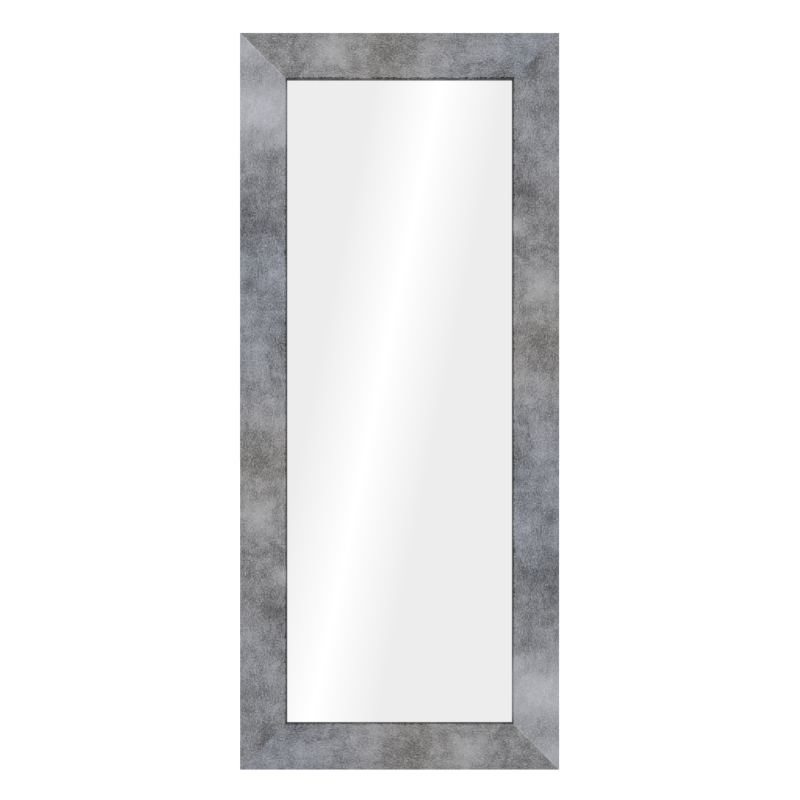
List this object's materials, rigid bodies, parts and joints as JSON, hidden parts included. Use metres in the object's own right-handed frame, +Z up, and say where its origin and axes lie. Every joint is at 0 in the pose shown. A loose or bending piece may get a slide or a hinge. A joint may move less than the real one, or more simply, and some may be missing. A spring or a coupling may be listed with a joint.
{
  "type": "full-length mirror",
  "caption": "Tall rectangular wall mirror in a broad flat mitred frame with a weathered grey printed finish and swinging ring hangers on the back.",
  "frame": {"origin": "middle of the bottom edge, halfway through the whole depth from the face to the wall bumpers", "axes": "+X to the right as the mirror is looked at, +Y from the face towards the wall, +Z up"},
  "size_m": [0.65, 0.028, 1.5],
  "materials": {
    "frame_foil": "matt weathered grey printed foil on fibreboard, with a raw back",
    "silvered_glass": "polished front with a grey painted back",
    "hardboard": "raw brown hardboard",
    "felt": "black felt tape",
    "zinc_steel": "bright zinc plate",
    "bumper_rubber": "matt black"
  },
  "bodies": {
    "frame": {"left_stile": "frame_foil", "right_stile": "frame_foil", "top_rail": "frame_foil", "bottom_rail": "frame_foil", "glazing_felt_left": "felt", "glazing_felt_right": "felt", "glazing_felt_top": "felt", "glazing_felt_bottom": "felt", "mirror_glass": "silvered_glass", "backing_board": "hardboard", "corner_v_nails": "zinc_steel", "backing_points": "zinc_steel", "hanger_strap_portrait_left": "zinc_steel", "hanger_strap_portrait_right": "zinc_steel", "hanger_strap_landscape_top": "zinc_steel", "hanger_strap_landscape_bottom": "zinc_steel", "hanger_screws": "zinc_steel", "wall_bumpers": "bumper_rubber"},
    "ring_portrait_left": {"hanger_ring_portrait_left": "zinc_steel"},
    "ring_portrait_right": {"hanger_ring_portrait_right": "zinc_steel"},
    "ring_landscape_top": {"hanger_ring_landscape_top": "zinc_steel"},
    "ring_landscape_bottom": {"hanger_ring_landscape_bottom": "zinc_steel"}
  },
  "joints": [
    {"name": "ring_swing_portrait_left", "type": "hinge", "parent": "frame", "child": "ring_portrait_left", "pos_m": [-0.282, 0.0106, 1.2], "axis": [-1, 0, 0], "range_deg": [0, 179]},
    {"name": "ring_swing_portrait_right", "type": "hinge", "parent": "frame", "child": "ring_portrait_right", "pos_m": [0.282, 0.0106, 1.2], "axis": [-1, 0, 0], "range_deg": [0, 179]},
    {"name": "ring_swing_landscape_top", "type": "hinge", "parent": "frame", "child": "ring_landscape_top", "pos_m": [-0.135, 0.0106, 1.457], "axis": [0, 0, -1], "range_deg": [0, 179]},
    {"name": "ring_swing_landscape_bottom", "type": "hinge", "parent": "frame", "child": "ring_landscape_bottom", "pos_m": [-0.135, 0.0106, 0.043], "axis": [0, 0, -1], "range_deg": [0, 179]}
  ]
}
